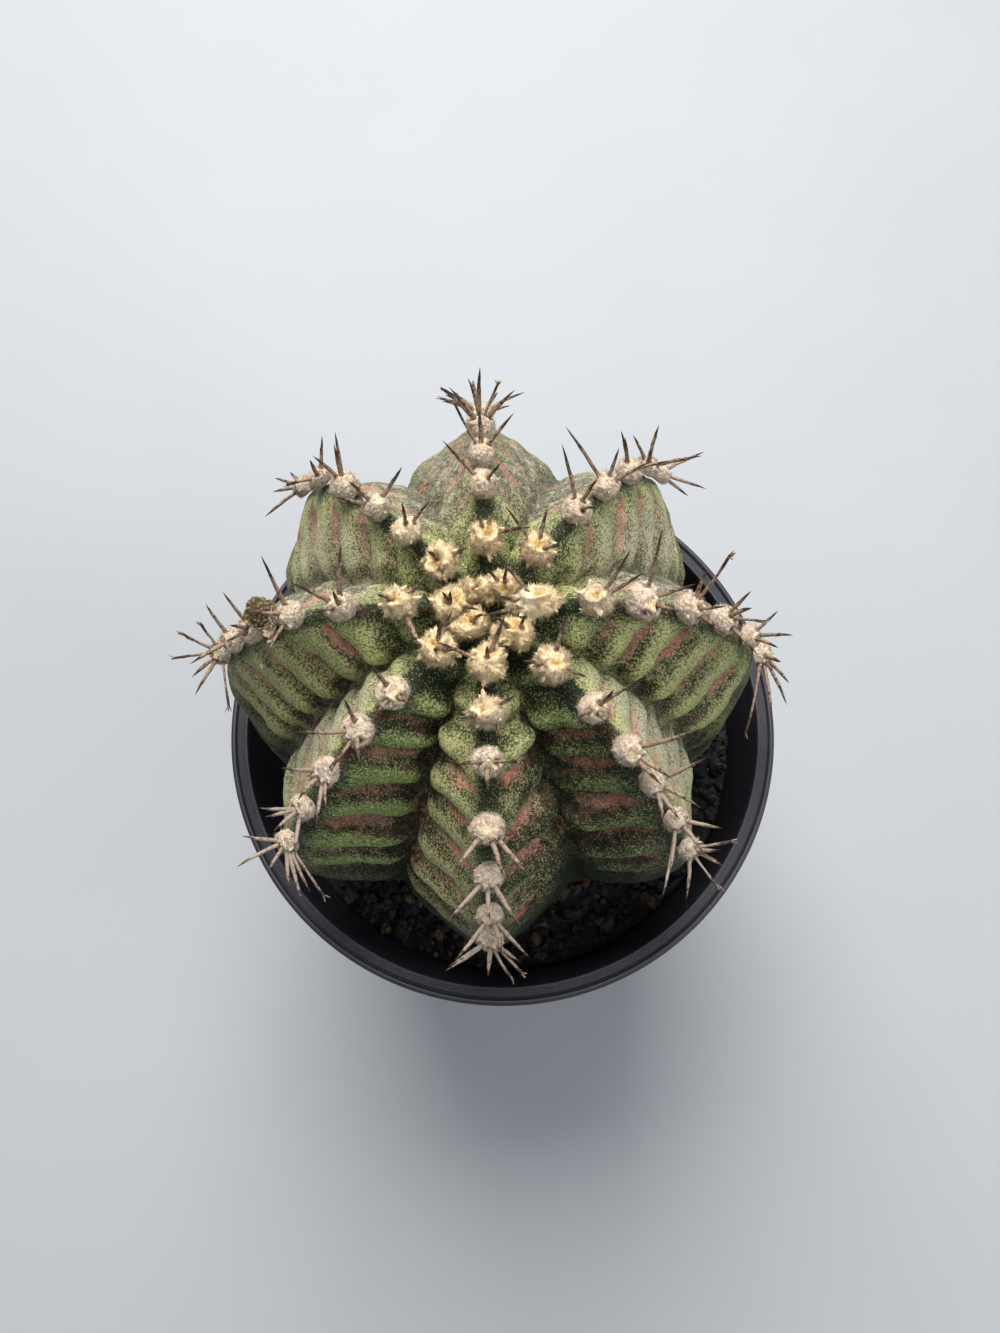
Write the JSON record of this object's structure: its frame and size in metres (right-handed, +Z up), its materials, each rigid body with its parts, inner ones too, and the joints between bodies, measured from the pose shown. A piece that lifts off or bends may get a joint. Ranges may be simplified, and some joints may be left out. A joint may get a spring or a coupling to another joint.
{
  "type": "potted cactus",
  "caption": "Globular cactus with sharp banded ribs, woolly cushions and curved spines, growing in a round black plastic nursery pot filled with gritty soil.",
  "frame": {"origin": "centre of the pot's flat base", "axes": "+Z up through the plant, -Y towards the front, from where the picture was taken, and +X to the right"},
  "size_m": [0.0753, 0.0769, 0.1091],
  "materials": {
    "pot_plastic": "satin",
    "soil": "matte",
    "skin": "satin",
    "wool": "matte",
    "spine": "satin",
    "dried_petal": "matte"
  },
  "bodies": {
    "root": {"pot": "pot_plastic", "soil": "soil", "cactus_body": "skin", "dried_flower": "dried_petal", "areole_right_1": "wool", "areole_right_2": "wool", "areole_right_3": "wool", "areole_right_4": "wool", "areole_right_5": "wool", "areole_right_6": "wool", "areole_right_7": "wool", "areole_back_right_1": "wool", "areole_back_right_2": "wool", "areole_back_right_3": "wool", "areole_back_right_4": "wool", "areole_back_right_5": "wool", "areole_back_right_6": "wool", "areole_back_right_7": "wool", "areole_back_1": "wool", "areole_back_2": "wool", "areole_back_3": "wool", "areole_back_4": "wool", "areole_back_5": "wool", "areole_back_6": "wool", "areole_back_7": "wool", "areole_back_left_1": "wool", "areole_back_left_2": "wool", "areole_back_left_3": "wool", "areole_back_left_4": "wool", "areole_back_left_5": "wool", "areole_back_left_6": "wool", "areole_back_left_7": "wool", "areole_left_1": "wool", "areole_left_2": "wool", "areole_left_3": "wool", "areole_left_4": "wool", "areole_left_5": "wool", "areole_left_6": "wool", "areole_left_7": "wool", "areole_front_left_1": "wool", "areole_front_left_2": "wool", "areole_front_left_3": "wool", "areole_front_left_4": "wool", "areole_front_left_5": "wool", "areole_front_left_6": "wool", "areole_front_left_7": "wool", "areole_front_1": "wool", "areole_front_2": "wool", "areole_front_3": "wool", "areole_front_4": "wool", "areole_front_5": "wool", "areole_front_6": "wool", "areole_front_7": "wool", "areole_front_right_1": "wool", "areole_front_right_2": "wool", "areole_front_right_3": "wool", "areole_front_right_4": "wool", "areole_front_right_5": "wool", "areole_front_right_6": "wool", "areole_front_right_7": "wool"}
  },
  "joints": []
}
